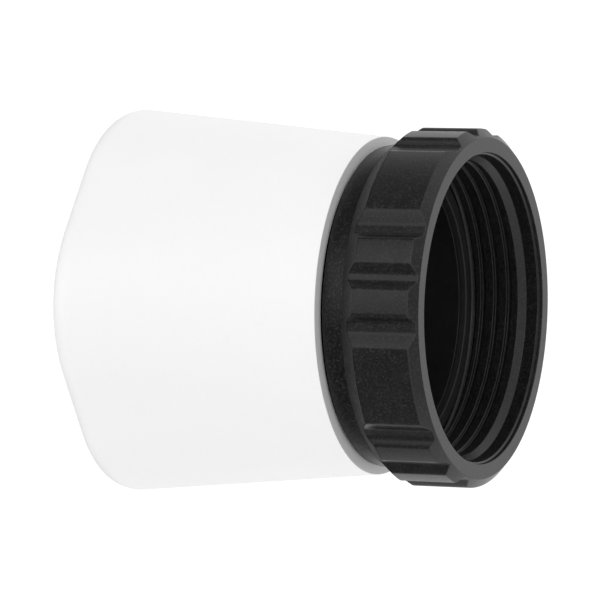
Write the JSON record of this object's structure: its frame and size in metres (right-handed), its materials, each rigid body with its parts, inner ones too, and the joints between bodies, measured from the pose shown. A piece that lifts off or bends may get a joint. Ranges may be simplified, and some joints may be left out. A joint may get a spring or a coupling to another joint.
{
  "type": "threaded protective cap",
  "caption": "Screw-on protective cap for a marine fitting: soft white moulded shell, closed at one end, with a swivelling black threaded coupling ring.",
  "frame": {"origin": "where the cap's axis meets the closed end's flat face", "axes": "+Z along the cap's axis, out of the threaded mouth; the closed end is a rounded pentagon with one corner about 2 degrees from -Y"},
  "size_m": [0.0863, 0.0854, 0.0872],
  "materials": {
    "shell_vinyl": "smooth satin moulded soft vinyl, white",
    "sleeve_nylon": "plain moulded black nylon",
    "gasket_rubber": "black sealing rubber",
    "ring_nylon": "matt moulded glass-filled black nylon with a fine speckle",
    "washer_acetal": "natural acetal strip",
    "retainer_steel": "stainless spring steel"
  },
  "bodies": {
    "cap_body": {"cap_shell": "shell_vinyl", "liner_sleeve": "sleeve_nylon", "sealing_gasket": "gasket_rubber", "retaining_ring": "retainer_steel"},
    "washer": {"slip_washer": "washer_acetal"},
    "ring": {"coupling_ring": "ring_nylon"}
  },
  "joints": [
    {"name": "ring_float", "type": "slide", "parent": "cap_body", "child": "washer", "axis": [0, 0, 1], "range_m": [0, 0.0006]},
    {"name": "ring_spin", "type": "hinge", "parent": "washer", "child": "ring", "pos_m": [0, 0, 0.0657], "axis": [0, 0, 1], "continuous": true}
  ]
}
